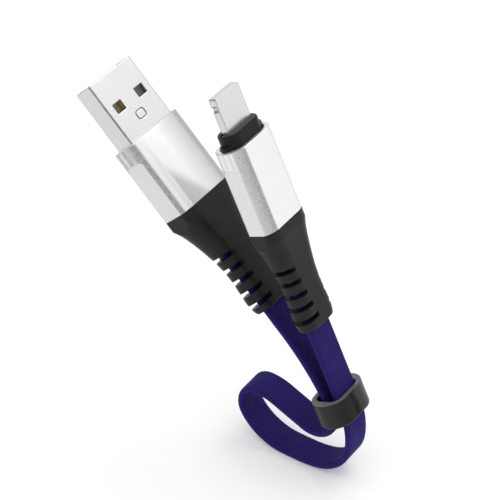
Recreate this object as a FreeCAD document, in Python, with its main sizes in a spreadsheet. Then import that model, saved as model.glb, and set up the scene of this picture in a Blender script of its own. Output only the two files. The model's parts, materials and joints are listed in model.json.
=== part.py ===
# Charging cable: a flat woven ribbon cable with a type-A plug and an eight-contact plug, folded back
# through a keeper ring so that both plugs stand up from one loop.
# Millimetres, +Z up. The ribbon's width and every bend axis lie along Y, and Y = 0 is its middle.
# The origin is on the underside of the loop, in the middle of the stretch it rests on.
import math
import os

import FreeCAD
import Part
import Sketcher

Vector = FreeCAD.Vector
Y_AXIS = Vector(0, 1, 0)

DIMENSIONS = {
    # Ribbon and what is inside it
    "ribbon_width": 6.1,
    "ribbon_thick": 1.3,
    "sleeve_wall": 0.2,
    "layer_gap": 0.02,
    "wire_radius": 0.3,
    "wire_pitch": 1.3,
    "wire_bore_gap": 0.02,
    "hinge_gap": 0.22,
    # Loop, from the resting stretch towards the eight-contact plug
    "rest_length": 3.0,
    "heel_radius": 18.3,
    "heel_angle": 14.0,
    "front_bend_radius": 8.35,
    "front_bend_angle": 70.0,
    "front_lift_radius": 17.0,
    "front_lift_angle": 31.1,
    "eight_run": 17.6,
    # Loop, from the resting stretch round the back and up to the type-A plug
    "back_bend_radius": 10.6,
    "back_bend_angle": 59.0,
    "back_turn_radius": 5.25,
    "back_turn_angle": 60.5,
    "back_tip_radius": 3.3,
    "back_tip_angle": 59.0,
    "crest_radius": 9.5,
    "crest_angle": 24.7,
    "upper_run": 7.0,
    "fold_radius": 4.6,
    "fold_angle": 140.5,
    "keeper_run": 2.47,
    "spread_radius": 20.6,
    "spread_angle": 4.4,
    "sweep_radius": 55.0,
    "sweep_angle": 14.5,
    "type_a_exit": 5.27,
    # Where each run hinges, counted back from the end of its strain relief
    "type_a_lower_hinge": 14.6,
    "type_a_upper_hinge": 5.0,
    "eight_lower_hinge": 10.0,
    "eight_upper_hinge": 3.6,
    # Keeper ring
    "keeper_width": 11.0,
    "keeper_thick": 7.4,
    "keeper_height": 5.2,
    "keeper_hole_width": 7.6,
    "keeper_hole_thick": 5.2,
    "keeper_hole_corner": 1.5,
    "keeper_lead_in": 0.18,
    "keeper_edge": 0.45,
    "keeper_rim_edge": 0.1,
    "keeper_lift": 0.28,
    "keeper_offset": 1.815,
    # Type-A plug: shell, tongue, contacts
    "shell_width": 12.0,
    "shell_thick": 4.5,
    "shell_wall": 0.3,
    "shell_corner": 0.5,
    "shell_reach": 12.5,
    "shell_root": 5.0,
    "window_width": 2.3,
    "window_height": 1.9,
    "window_spread": 3.1,
    "window_level": 6.5,
    "latch_width": 2.3,
    "latch_height": 1.75,
    "latch_corner": 0.62,
    "latch_slit": 0.16,
    "latch_depth": 0.2,
    "latch_level": 3.2,
    "tongue_width": 11.2,
    "tongue_thick": 1.85,
    "tongue_recess": 0.6,
    "tongue_block": 1.5,
    "contact_width": 1.0,
    "contact_thick": 0.22,
    "contact_sink": 0.26,
    "contact_inner": 1.0,
    "contact_outer": 3.5,
    "contact_recess": 1.6,
    "contact_step": 1.0,
    "contact_tail": 7.6,
    "solder_width": 0.8,
    "solder_thick": 0.3,
    "solder_length": 1.3,
    "solder_corner": 0.3,
    "lead_gap": 0.05,
    # Type-A plug: housing, inner mould, crimp, strain relief
    "fit_gap": 0.04,
    "a_body_width": 15.5,
    "a_body_thick": 7.4,
    "a_body_length": 15.1,
    "a_roof": 1.2,
    "a_cavity_width": 12.6,
    "a_cavity_thick": 5.8,
    "a_flat_half": 6.9,
    "a_flat_width": 4.74,
    "a_flat_start": 3.2,
    "flat_corner": 1.0,
    "body_edge": 0.2,
    "a_mould_end": 11.9,
    "a_wire_room": 8.4,
    "wire_room_thick": 1.3,
    "crimp_wall": 0.3,
    "crimp_length": 2.4,
    "a_crimp_top": 12.1,
    "a_ribbon_top": 11.6,
    "a_relief_end": 38.2,
    # Eight-contact plug: blade, contact block, contacts, board, collar
    "blade_width": 6.7,
    "blade_thick": 1.5,
    "blade_reach": 6.75,
    "blade_root": 3.0,
    "blade_corner": 0.4,
    "detent_radius": 0.7,
    "detent_depth": 0.32,
    "detent_level": 4.75,
    "detent_cover": 0.3,
    "block_width": 5.8,
    "block_height": 4.8,
    "block_depth": 0.62,
    "block_corner": 0.46,
    "block_level": 3.6,
    "pin_width": 0.42,
    "pin_height": 3.9,
    "pin_thick": 0.12,
    "pin_pitch": 0.68,
    "board_width": 8.0,
    "board_thick": 0.6,
    "board_offset": 0.65,
    "board_top": 3.05,
    "board_bottom": 12.4,
    "chip_size": 3.0,
    "chip_thick": 0.75,
    "chip_corner": 0.2,
    "seat_gap": 0.01,
    "chip_level": 5.6,
    "passive_width": 0.6,
    "passive_height": 1.0,
    "passive_thick": 0.45,
    "passive_spread": 2.9,
    "collar_width": 9.1,
    "collar_thick": 4.6,
    "collar_height": 2.5,
    "collar_flange_width": 10.8,
    "collar_flange_thick": 2.7,
    "collar_flange_height": 0.7,
    "collar_plug_depth": 1.5,
    "collar_edge": 0.35,
    # Eight-contact plug: housing, inner mould, strain relief
    "e_body_width": 12.1,
    "e_body_thick": 6.4,
    "e_body_length": 16.45,
    "e_cavity_width": 10.3,
    "e_cavity_thick": 4.9,
    "e_flat_half": 5.62,
    "e_flat_width": 3.2,
    "e_flat_start": 3.3,
    "e_mould_top": 4.05,
    "e_mould_end": 16.0,
    "e_board_room": 8.1,
    "e_crimp_top": 16.2,
    "e_ribbon_top": 15.6,
    "e_wire_top": 11.4,
    "e_relief_top": 18.95,
    "e_relief_end": 40.1,
    # Strain reliefs
    "relief_collar": 2.0,
    "relief_end_width": 8.0,
    "relief_end_thick": 4.2,
    "relief_stop_gap": 0.1,
    "relief_edge": 0.3,
    "slot_height": 0.95,
    "slot_pitch": 2.6,
    "slot_depth_back": 1.9,
    "slot_cut": 10.0,
    "a_slot_first": 26.0,
    "a_slot_inner": 1.9,
    "a_slot_step": 0.28,
    "e_slot_first": 27.4,
    "e_slot_inner": 2.3,
    "e_slot_step": 0.42,
}

# Cross-sections down each strain relief's taper: share of the taper's length, then the share of the
# change in width and in thickness that is done by there.
TAPER = (
    (0.0, 0.0, 0.0),
    (0.1, 0.30, 0.27),
    (0.19, 0.48, 0.44),
    (0.40, 0.80, 0.69),
    (0.66, 0.93, 0.87),
    (1.0, 1.0, 1.0),
)
SLOT_COUNT = 5
WIRE_COUNT = 4
PIN_COUNT = 8

doc = FreeCAD.newDocument("charging_cable")
sheet = doc.addObject("Spreadsheet::Sheet", "Dims")
for row, (alias, number) in enumerate(DIMENSIONS.items(), start=1):
    sheet.set(f"A{row}", alias)
    sheet.set(f"B{row}", str(number))
    sheet.setAlias(f"B{row}", alias)
doc.recompute()

gauge = doc.addObject("App::FeaturePython", "Gauge")
gauge.addProperty("App::PropertyFloat", "Reading")
nodes = []


def size(alias):
    """A number from the sheet."""
    return float(sheet.get(alias))


def bind(item, field, rule):
    """Ties a field of an object to the sheet. @word in the rule stands for the cell of that name."""
    item.setExpression(field, rule.replace("@", "Dims."))


def reading(rule):
    """The number that a rule gives, for drawing a sketch at its true size before it is constrained."""
    bind(gauge, "Reading", rule)
    gauge.recompute()
    return gauge.Reading


# ---------------------------------------------------------------- sketches and features


def new_body(label, placement=None):
    body = doc.addObject("PartDesign::Body", label)
    body.Label = label
    body.AllowCompound = True
    if placement is not None:
        body.Placement = placement
    nodes.append(body)
    return body


def origin_feature(body, role):
    return next(item for item in body.Origin.OriginFeatures if item.Role == role)


def new_sketch(body, plane="XY_Plane", x="0", y="0", z="0"):
    """A sketch parallel to an origin plane, centred on the body's point x, y, z."""
    sketch = body.newObject("Sketcher::SketchObject", "Sketch")
    sketch.AttachmentSupport = (origin_feature(body, plane), [""])
    sketch.MapMode = "FlatFace"
    local = {"XY_Plane": (x, y, z), "XZ_Plane": (x, z, f"-({y})"), "YZ_Plane": (y, z, x)}[plane]
    for letter, rule in zip("xyz", local):
        bind(sketch, f"AttachmentOffset.Base.{letter}", rule)
    return sketch


def dimension(sketch, rule, *constraint):
    """A driving dimension that the rule sets."""
    number = sketch.addConstraint(Sketcher.Constraint(*constraint, reading(rule)))
    bind(sketch, f"Constraints[{number}]", rule)


def stadium(sketch, length, thick):
    """A long slot shape: straight sides along the sketch's second axis, half-round ends."""
    first = sketch.GeometryCount
    radius = reading(f"({thick}) / 2")
    reach = reading(f"({length}) / 2") - radius
    up = Vector(0, 0, 1)
    sketch.addGeometry(Part.LineSegment(Vector(radius, -reach, 0), Vector(radius, reach, 0)))
    sketch.addGeometry(Part.ArcOfCircle(Part.Circle(Vector(0, reach, 0), up, radius), 0, math.pi))
    sketch.addGeometry(Part.LineSegment(Vector(-radius, reach, 0), Vector(-radius, -reach, 0)))
    lower = Part.Circle(Vector(0, -reach, 0), up, radius)
    sketch.addGeometry(Part.ArcOfCircle(lower, math.pi, 2 * math.pi))
    for step in range(4):
        sketch.addConstraint(Sketcher.Constraint("Tangent", first + step, 2, first + (step + 1) % 4, 1))
    sketch.addConstraint(Sketcher.Constraint("Vertical", first))
    sketch.addConstraint(Sketcher.Constraint("Symmetric", first + 1, 3, first + 3, 3, -1, 1))
    dimension(sketch, f"({thick}) / 2", "Radius", first + 1)
    dimension(sketch, f"({length}) - ({thick})", "DistanceY", first + 3, 3, first + 1, 3)


def rectangle(sketch, wide, high):
    first = sketch.GeometryCount
    half_wide, half_high = reading(f"({wide}) / 2"), reading(f"({high}) / 2")
    corners = [Vector(sx * half_wide, sy * half_high, 0) for sx, sy in ((-1, -1), (1, -1), (1, 1), (-1, 1))]
    for step in range(4):
        sketch.addGeometry(Part.LineSegment(corners[step], corners[(step + 1) % 4]))
    for step in range(4):
        sketch.addConstraint(Sketcher.Constraint("Coincident", first + step, 2, first + (step + 1) % 4, 1))
        sketch.addConstraint(Sketcher.Constraint("Vertical" if step % 2 else "Horizontal", first + step))
    sketch.addConstraint(Sketcher.Constraint("Symmetric", first, 1, first + 2, 1, -1, 1))
    dimension(sketch, wide, "DistanceX", first, 1, first, 2)
    dimension(sketch, high, "DistanceY", first + 1, 1, first + 1, 2)


def rounded_rectangle(sketch, wide, high, corner):
    first = sketch.GeometryCount
    radius = reading(corner)
    reach_x, reach_y = reading(f"({wide}) / 2") - radius, reading(f"({high}) / 2") - radius
    up = Vector(0, 0, 1)
    signs = ((1, -1), (1, 1), (-1, 1), (-1, -1))
    for step, (sx, sy) in enumerate(signs):
        start = (step - 1) * math.pi / 2
        circle = Part.Circle(Vector(sx * reach_x, sy * reach_y, 0), up, radius)
        arc = Part.ArcOfCircle(circle, start, start + math.pi / 2)
        nx, ny = signs[(step + 1) % 4]
        leaving = start + math.pi / 2
        offset = Vector(math.cos(leaving), math.sin(leaving), 0) * radius
        line = Part.LineSegment(arc.EndPoint, Vector(nx * reach_x, ny * reach_y, 0) + offset)
        sketch.addGeometry(arc)
        sketch.addGeometry(line)
    for step in range(4):
        arc, line, following = first + 2 * step, first + 2 * step + 1, first + (2 * step + 2) % 8
        sketch.addConstraint(Sketcher.Constraint("Tangent", arc, 2, line, 1))
        sketch.addConstraint(Sketcher.Constraint("Tangent", line, 2, following, 1))
    for step in (1, 2, 3):
        sketch.addConstraint(Sketcher.Constraint("Equal", first, first + 2 * step))
    sketch.addConstraint(Sketcher.Constraint("Vertical", first + 1))
    sketch.addConstraint(Sketcher.Constraint("Horizontal", first + 3))
    sketch.addConstraint(Sketcher.Constraint("Symmetric", first, 3, first + 4, 3, -1, 1))
    dimension(sketch, corner, "Radius", first)
    dimension(sketch, f"({wide}) - 2 * ({corner})", "DistanceX", first + 6, 3, first, 3)
    dimension(sketch, f"({high}) - 2 * ({corner})", "DistanceY", first, 3, first + 2, 3)


def circle(sketch, radius):
    number = sketch.addGeometry(Part.Circle(Vector(0, 0, 0), Vector(0, 0, 1), reading(radius)))
    sketch.addConstraint(Sketcher.Constraint("Coincident", number, 3, -1, 1))
    dimension(sketch, radius, "Radius", number)


def pad(sketch, length, down=False):
    feature = sketch.getParentGeoFeatureGroup().newObject("PartDesign::Pad", "Pad")
    feature.Profile = sketch
    feature.Reversed = down
    bind(feature, "Length", length)
    return feature


def pocket(sketch, length, flip=False, both_ways=False):
    feature = sketch.getParentGeoFeatureGroup().newObject("PartDesign::Pocket", "Pocket")
    feature.Profile = sketch
    feature.Reversed = flip
    if both_ways:
        feature.SideType = "Symmetric"
    bind(feature, "Length", length)
    return feature


def repeat(body, feature, role, length, count):
    """Copies a feature along an origin axis; length is from the first copy to the last."""
    pattern = body.newObject("PartDesign::LinearPattern", "LinearPattern")
    pattern.Originals = [feature]
    pattern.Direction = (origin_feature(body, role), [""])
    bind(pattern, "Length", length)
    pattern.Occurrences = count
    body.Tip = pattern
    return pattern


def mirror(body, features, role):
    mirrored = body.newObject("PartDesign::Mirrored", "Mirrored")
    mirrored.Originals = features
    mirrored.MirrorPlane = (origin_feature(body, role), [""])
    body.Tip = mirrored
    return mirrored


def round_edges(body, radius, chosen):
    """Rounds the edges of the body so far for which chosen(edge) is true."""
    doc.recompute()
    base = body.Tip
    names = [f"Edge{n}" for n, edge in enumerate(base.Shape.Edges, start=1) if chosen(edge)]
    feature = body.newObject("PartDesign::Fillet", "Fillet")
    feature.Base = (base, names)
    bind(feature, "Radius", radius)
    doc.recompute()


def level_test(level, smallest_length=1.0):
    """True for edges that lie flat at that height."""

    def lies_flat(edge):
        heights = [vertex.Z for vertex in edge.Vertexes] + [edge.CenterOfMass.z]
        return all(abs(height - level) < 1e-4 for height in heights) and edge.Length > smallest_length

    return lies_flat


# ---------------------------------------------------------------- the ribbon's path


class Stretch:
    """A piece of the path in the XZ plane. turn is 1 to the left, -1 to the right, 0 if straight."""

    def __init__(self, start, heading, length, turn=0, radius_name=None):
        self.start = start
        self.heading = heading
        self.length = length
        self.turn = turn
        self.radius_name = radius_name
        self.radius = size(radius_name) if radius_name else 0.0

    def at(self, distance):
        """The point and the heading after that distance."""
        if not self.turn:
            step = Vector(math.cos(self.heading), math.sin(self.heading), 0) * distance
            return self.start + step, self.heading
        angle = self.turn * distance / self.radius
        arm = self.start - self.centre()
        across = Vector(-arm.y, arm.x, 0)
        turned = arm * math.cos(angle) + across * math.sin(angle)
        return self.centre() + turned, self.heading + angle

    def centre(self):
        side = self.heading + self.turn * math.pi / 2
        return self.start + Vector(math.cos(side), math.sin(side), 0) * self.radius

    def part(self, low, high):
        point, heading = self.at(low)
        return Stretch(point, heading, high - low, self.turn, self.radius_name)

    def backwards(self):
        point, heading = self.at(self.length)
        return Stretch(point, heading + math.pi, self.length, -self.turn, self.radius_name)


def walk(start, heading, moves):
    """Stretches one after the other. A move is a length's name, or (radius name, angle name, turn)."""
    stretches = []
    for move in moves:
        if isinstance(move, str):
            stretch = Stretch(start, heading, size(move))
        else:
            radius_name, angle_name, turn = move
            length = size(radius_name) * math.radians(size(angle_name))
            stretch = Stretch(start, heading, length, turn, radius_name)
        stretches.append(stretch)
        start, heading = stretch.at(stretch.length)
    return stretches


middle_height = size("ribbon_thick") / 2
half_rest = size("rest_length") / 2
to_eight = walk(
    Vector(half_rest, middle_height, 0),
    0.0,
    [
        ("heel_radius", "heel_angle", 1),
        ("front_bend_radius", "front_bend_angle", 1),
        ("front_lift_radius", "front_lift_angle", 1),
        "eight_run",
    ],
)
to_type_a = walk(
    Vector(-half_rest, middle_height, 0),
    math.pi,
    [
        ("back_bend_radius", "back_bend_angle", -1),
        ("back_turn_radius", "back_turn_angle", -1),
        ("back_tip_radius", "back_tip_angle", -1),
        ("crest_radius", "crest_angle", -1),
        "upper_run",
        ("fold_radius", "fold_angle", 1),
        "keeper_run",
        ("spread_radius", "spread_angle", 1),
        ("sweep_radius", "sweep_angle", 1),
        "type_a_exit",
    ],
)
resting = Stretch(Vector(-half_rest, middle_height, 0), 0.0, size("rest_length"))
whole_path = [stretch.backwards() for stretch in reversed(to_type_a)] + [resting] + to_eight
path_length = sum(stretch.length for stretch in whole_path)


def along_path(distance):
    """The point and heading that far from the type-A strain relief."""
    for stretch in whole_path:
        if distance <= stretch.length:
            return stretch.at(distance)
        distance -= stretch.length
    return whole_path[-1].at(whole_path[-1].length)


def path_between(low, high):
    pieces = []
    passed = 0.0
    for stretch in whole_path:
        first = max(low - passed, 0.0)
        last = min(high - passed, stretch.length)
        if last - first > 1e-6:
            pieces.append(stretch.part(first, last))
        passed += stretch.length
    return pieces


def facing(point, heading):
    """A placement in the bend plane whose Z runs along the heading, and whose Y is the ribbon's width."""
    turn = math.degrees(math.pi / 2 - heading)
    return FreeCAD.Placement(Vector(point.x, 0, point.y), FreeCAD.Rotation(Y_AXIS, turn))


# ---------------------------------------------------------------- ribbon pieces


def path_sketch(body, pieces):
    sketch = body.newObject("Sketcher::SketchObject", "Path")
    sketch.AttachmentSupport = (origin_feature(body, "XZ_Plane"), [""])
    sketch.MapMode = "FlatFace"
    ends = []
    for piece in pieces:
        last_point, last_heading = piece.at(piece.length)
        if not piece.turn:
            number = sketch.addGeometry(Part.LineSegment(piece.start, last_point))
            ends.append((number, 1, 2))
            continue
        arm = piece.start - piece.centre()
        angle = math.atan2(arm.y, arm.x)
        swept = piece.turn * piece.length / piece.radius
        low, high = sorted((angle, angle + swept))
        arc = Part.ArcOfCircle(Part.Circle(piece.centre(), Vector(0, 0, 1), piece.radius), low, high)
        number = sketch.addGeometry(arc)
        ends.append((number, 1, 2) if piece.turn > 0 else (number, 2, 1))
        dimension(sketch, f"@{piece.radius_name}", "Radius", number)
    for before, after in zip(ends, ends[1:]):
        sketch.addConstraint(Sketcher.Constraint("Coincident", before[0], before[2], after[0], after[1]))
    return sketch


def swept_profile(body, start, draw, shift=0.0):
    """A sketch square to the path's start, moved by shift along the ribbon's width."""
    sketch = body.newObject("Sketcher::SketchObject", "Profile")
    sketch.AttachmentSupport = (origin_feature(body, "XY_Plane"), [""])
    sketch.MapMode = "FlatFace"
    placed = facing(*start)
    placed.Base = placed.Base + Y_AXIS * shift
    sketch.AttachmentOffset = placed
    draw(sketch)
    return sketch


def sweep(body, kind, profile, spine):
    pipe = body.newObject(f"PartDesign::{kind}", kind)
    pipe.Profile = profile
    pipe.Spine = (spine, [f"Edge{n + 1}" for n in range(spine.GeometryCount)])
    pipe.Mode = "Binormal"
    pipe.Binormal = Y_AXIS
    return pipe


SLEEVE_OUTER = ("@ribbon_width", "@ribbon_thick")
SLEEVE_INNER = ("@ribbon_width - 2 * @sleeve_wall", "@ribbon_thick - 2 * @sleeve_wall")
JACKET_OUTER = (
    "@ribbon_width - 2 * @sleeve_wall - 2 * @layer_gap",
    "@ribbon_thick - 2 * @sleeve_wall - 2 * @layer_gap",
)
WIRE_BORE = "@wire_radius + @wire_bore_gap"
FIRST_WIRE = f"-@wire_pitch * {(WIRE_COUNT - 1) / 2}"
WIRE_SPREAD = f"@wire_pitch * {WIRE_COUNT - 1}"


def swept_ribbon(prefix, low, high):
    """Sleeve, inner jacket and wires over one stretch of the path."""
    start = along_path(low)
    pieces = path_between(low, high)
    first_wire = reading(FIRST_WIRE)

    sleeve = new_body(f"{prefix}_sleeve")
    spine = path_sketch(sleeve, pieces)
    outer = swept_profile(sleeve, start, lambda sketch: stadium(sketch, *SLEEVE_OUTER))
    sweep(sleeve, "AdditivePipe", outer, spine)
    inner = swept_profile(sleeve, start, lambda sketch: stadium(sketch, *SLEEVE_INNER))
    sweep(sleeve, "SubtractivePipe", inner, spine)

    jacket = new_body(f"{prefix}_inner_jacket")
    spine = path_sketch(jacket, pieces)
    outer = swept_profile(jacket, start, lambda sketch: stadium(sketch, *JACKET_OUTER))
    sweep(jacket, "AdditivePipe", outer, spine)
    bore_profile = swept_profile(jacket, start, lambda sketch: circle(sketch, WIRE_BORE), first_wire)
    bore = sweep(jacket, "SubtractivePipe", bore_profile, spine)
    repeat(jacket, bore, "Y_Axis", WIRE_SPREAD, WIRE_COUNT)

    wires = new_body(f"{prefix}_wires")
    spine = path_sketch(wires, pieces)
    round_wire = swept_profile(wires, start, lambda sketch: circle(sketch, "@wire_radius"), first_wire)
    wire = sweep(wires, "AdditivePipe", round_wire, spine)
    repeat(wires, wire, "Y_Axis", WIRE_SPREAD, WIRE_COUNT)


def straight_ribbon(prefix, placement, top, bottom, wire_top):
    """Sleeve, inner jacket and wires inside a plug, straight along the plug's axis."""
    length = f"({bottom}) - ({top})"
    sleeve = new_body(f"{prefix}_sleeve", placement)
    sketch = new_sketch(sleeve, z=f"-({top})")
    stadium(sketch, *SLEEVE_OUTER)
    pad(sketch, length, down=True)
    sketch = new_sketch(sleeve, z=f"-({top})")
    stadium(sketch, *SLEEVE_INNER)
    pocket(sketch, length)

    jacket = new_body(f"{prefix}_inner_jacket", placement)
    sketch = new_sketch(jacket, z=f"-({top})")
    stadium(sketch, *JACKET_OUTER)
    pad(sketch, length, down=True)
    sketch = new_sketch(jacket, y=FIRST_WIRE, z=f"-({top})")
    circle(sketch, WIRE_BORE)
    bore = pocket(sketch, length)
    repeat(jacket, bore, "Y_Axis", WIRE_SPREAD, WIRE_COUNT)

    wires = new_body(f"{prefix}_wires", placement)
    sketch = new_sketch(wires, y=FIRST_WIRE, z=f"-({wire_top})")
    circle(sketch, "@wire_radius")
    wire = pad(sketch, f"({bottom}) - ({wire_top})", down=True)
    repeat(wires, wire, "Y_Axis", WIRE_SPREAD, WIRE_COUNT)


# ---------------------------------------------------------------- keeper ring


def keeper_ring():
    junction, heading = to_eight[3].start, to_eight[3].heading
    up = Vector(math.cos(heading), math.sin(heading), 0)
    front = Vector(up.y, -up.x, 0)
    centre = junction + up * size("keeper_lift") - front * size("keeper_offset")
    body = new_body("keeper_ring", facing(centre, heading))
    sketch = new_sketch(body, z="-@keeper_height / 2")
    stadium(sketch, "@keeper_width", "@keeper_thick")
    pad(sketch, "@keeper_height")
    half = size("keeper_height") / 2
    round_edges(body, "@keeper_edge", level_test(-half))
    round_edges(body, "@keeper_rim_edge", level_test(half))
    sketch = new_sketch(body, z="@keeper_height / 2")
    rounded_rectangle(sketch, "@keeper_hole_thick", "@keeper_hole_width", "@keeper_hole_corner")
    pocket(sketch, "@keeper_height")
    in_plane = level_test(half, 0.5)
    hole_half_width, hole_half_thick = size("keeper_hole_width") / 2, size("keeper_hole_thick") / 2

    def rims_hole(edge):
        across, through = abs(edge.CenterOfMass.y), abs(edge.CenterOfMass.x)
        return in_plane(edge) and across < hole_half_width + 0.01 and through < hole_half_thick + 0.01

    round_edges(body, "@keeper_lead_in", rims_hole)
    return centre


# ---------------------------------------------------------------- housings and strain reliefs


def side_flats(body, width, half, top, length, corner):
    """Mills a flat on each narrow side, from the height top down over length."""
    level = f"-({top}) - ({length}) / 2"
    sketch = new_sketch(body, "XZ_Plane", y=half, z=level)
    rounded_rectangle(sketch, width, length, corner)
    # The sketch faces -Y, so a pocket cuts towards +Y, outwards from the flat.
    cut = pocket(sketch, width)
    mirror(body, [cut], "XZ_Plane")


def housing(label, placement, letter, top, roof):
    """An aluminium sleeve with rounded narrow sides and a milled flat on each."""
    body = new_body(label, placement)
    sketch = new_sketch(body, z=f"-({top})")
    stadium(sketch, f"@{letter}_body_width", f"@{letter}_body_thick")
    pad(sketch, f"@{letter}_body_length", down=True)
    side_flats(
        body,
        f"@{letter}_flat_width",
        f"@{letter}_flat_half",
        f"({top}) + @{letter}_flat_start",
        f"(@{letter}_body_length - @{letter}_flat_start + @flat_corner * 2)",
        "@flat_corner",
    )
    round_edges(body, "@body_edge", level_test(-reading(top), 3.0))
    sketch = new_sketch(body, z=f"-({top}) - ({roof})")
    stadium(sketch, f"@{letter}_cavity_width", f"@{letter}_cavity_thick")
    pocket(sketch, f"@{letter}_body_length")
    return body


def strain_relief(label, placement, letter, top, end, crimp_top):
    """A soft tapering boot with side slots, a spigot up into the housing and a bore for the ribbon."""
    body = new_body(label, placement)
    sketch = new_sketch(body, z=f"-@{top}")
    stadium(sketch, f"@{letter}_body_width", f"@{letter}_body_thick")
    pad(sketch, "@relief_collar", down=True)

    sections = []
    for share, width_done, thick_done in TAPER:
        level = f"-@{top} - @relief_collar - {share} * (@{end} - @{top} - @relief_collar)"
        section = new_sketch(body, z=level)
        stadium(
            section,
            f"@{letter}_body_width + {width_done} * (@relief_end_width - @{letter}_body_width)",
            f"@{letter}_body_thick + {thick_done} * (@relief_end_thick - @{letter}_body_thick)",
        )
        sections.append(section)
    loft = body.newObject("PartDesign::AdditiveLoft", "Taper")
    loft.Profile = sections[0]
    loft.Sections = sections[1:]
    round_edges(body, "@relief_edge", level_test(-size(end), 3.0))
    side_flats(
        body,
        f"@{letter}_body_thick * 1.5",
        f"@{letter}_flat_half",
        f"@{top} - @flat_corner",
        "@relief_collar * 4 + @flat_corner",
        "@flat_corner",
    )

    sketch = new_sketch(body, z=f"-@{top}")
    stadium(sketch, f"@{letter}_cavity_width - 2 * @fit_gap", f"@{letter}_cavity_thick - 2 * @fit_gap")
    pad(sketch, f"@{top} - @{letter}_mould_end - @relief_stop_gap")

    bore_top = f"-@{letter}_mould_end"
    sketch = new_sketch(body, z=bore_top)
    stadium(sketch, "@ribbon_width + 2 * @fit_gap", "@ribbon_thick + 2 * @fit_gap")
    pocket(sketch, f"@{end}")
    sketch = new_sketch(body, z=bore_top)
    stadium(
        sketch,
        "@ribbon_width + 4 * @fit_gap + 2 * @crimp_wall",
        "@ribbon_thick + 4 * @fit_gap + 2 * @crimp_wall",
    )
    pocket(sketch, f"@{crimp_top} + @crimp_length - @{letter}_mould_end + @relief_stop_gap")

    for number in range(SLOT_COUNT):
        level = f"-@{letter}_slot_first - {number} * @slot_pitch"
        inner = f"(@{letter}_slot_inner - {number} * @{letter}_slot_step)"
        # Left side: open from front to back. Right side: open at the back, closed over the front.
        sketch = new_sketch(body, "YZ_Plane", y=f"-{inner} - @slot_cut / 2", z=level)
        rectangle(sketch, "@slot_cut", "@slot_height")
        pocket(sketch, "@slot_cut * 2", both_ways=True)
        sketch = new_sketch(body, "YZ_Plane", x="@slot_depth_back", y=f"{inner} + @slot_cut / 2", z=level)
        rectangle(sketch, "@slot_cut", "@slot_height")
        pocket(sketch, "@slot_cut")
    return body


def crimp(label, placement, top):
    """A folded metal band that grips the ribbon at the plug."""
    body = new_body(label, placement)
    sketch = new_sketch(body, z=f"-@{top}")
    stadium(
        sketch,
        "@ribbon_width + 2 * @fit_gap + 2 * @crimp_wall",
        "@ribbon_thick + 2 * @fit_gap + 2 * @crimp_wall",
    )
    pad(sketch, "@crimp_length", down=True)
    sketch = new_sketch(body, z=f"-@{top}")
    stadium(sketch, "@ribbon_width + 2 * @fit_gap", "@ribbon_thick + 2 * @fit_gap")
    pocket(sketch, "@crimp_length")


# ---------------------------------------------------------------- type-A plug
# Plug frames: Z = 0 where the metal plug leaves the housing or collar, +Z towards its tip,
# X across the thickness (the front is +X), Y across the width.


def type_a_shell(placement):
    body = new_body("type_a_shell", placement)
    sketch = new_sketch(body, z="-@shell_root")
    rounded_rectangle(sketch, "@shell_thick", "@shell_width", "@shell_corner")
    pad(sketch, "@shell_reach + @shell_root")
    sketch = new_sketch(body, z="@shell_reach")
    rounded_rectangle(
        sketch,
        "@shell_thick - 2 * @shell_wall",
        "@shell_width - 2 * @shell_wall",
        "@shell_corner - @shell_wall",
    )
    pocket(sketch, "@shell_reach + @shell_root")
    sketch = new_sketch(body, "YZ_Plane", y="-@window_spread", z="@window_level")
    rectangle(sketch, "@window_width", "@window_height")
    window = pocket(sketch, "@shell_thick * 2", both_ways=True)
    repeat(body, window, "Y_Axis", "@window_spread * 2", 2)
    sketch = new_sketch(body, "YZ_Plane", x="@shell_thick / 2", z="@latch_level")
    rounded_rectangle(sketch, "@latch_width", "@latch_height", "@latch_corner")
    rounded_rectangle(
        sketch,
        "@latch_width - 2 * @latch_slit",
        "@latch_height - 2 * @latch_slit",
        "@latch_corner - @latch_slit",
    )
    pocket(sketch, "@latch_depth")


def contact_rows():
    """Where the four contacts stand across the width, and how far each stops short of the shell's tip."""
    inner, outer = "@contact_inner", "@contact_outer"
    return (
        (f"-{outer}", "@contact_recess"),
        (f"-{inner}", "@contact_recess + @contact_step"),
        (inner, "@contact_recess + @contact_step"),
        (outer, "@contact_recess"),
    )


TONGUE_FACE = "(@tongue_thick - @shell_thick / 2 + @shell_wall + @fit_gap)"


def type_a_tongue(placement):
    body = new_body("type_a_tongue", placement)
    sketch = new_sketch(body, x=f"{TONGUE_FACE} - @tongue_thick / 2", z="-@shell_root")
    rectangle(sketch, "@tongue_thick", "@tongue_width")
    pad(sketch, "@shell_reach + @shell_root - @tongue_recess")
    sketch = new_sketch(body, z="-@shell_root")
    rectangle(sketch, "@shell_thick - 2 * @shell_wall - 2 * @fit_gap", "@tongue_width")
    pad(sketch, "@shell_root + @tongue_block")
    for across, short in contact_rows():
        centre = f"{TONGUE_FACE} - @contact_sink + @contact_thick / 2 + @fit_gap"
        sketch = new_sketch(body, x=centre, y=across, z=f"@shell_reach - ({short}) + @fit_gap")
        rectangle(sketch, "@contact_thick + 2 * @fit_gap", "@contact_width + 2 * @fit_gap")
        pocket(sketch, "@shell_reach + @shell_root")


def type_a_contacts(placement):
    body = new_body("type_a_contacts", placement)
    for across, short in contact_rows():
        centre = f"{TONGUE_FACE} - @contact_sink + @contact_thick / 2 + @fit_gap"
        sketch = new_sketch(body, x=centre, y=across, z=f"@shell_reach - ({short})")
        rectangle(sketch, "@contact_thick", "@contact_width")
        pad(sketch, f"@shell_reach - ({short}) + @contact_tail", down=True)


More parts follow.
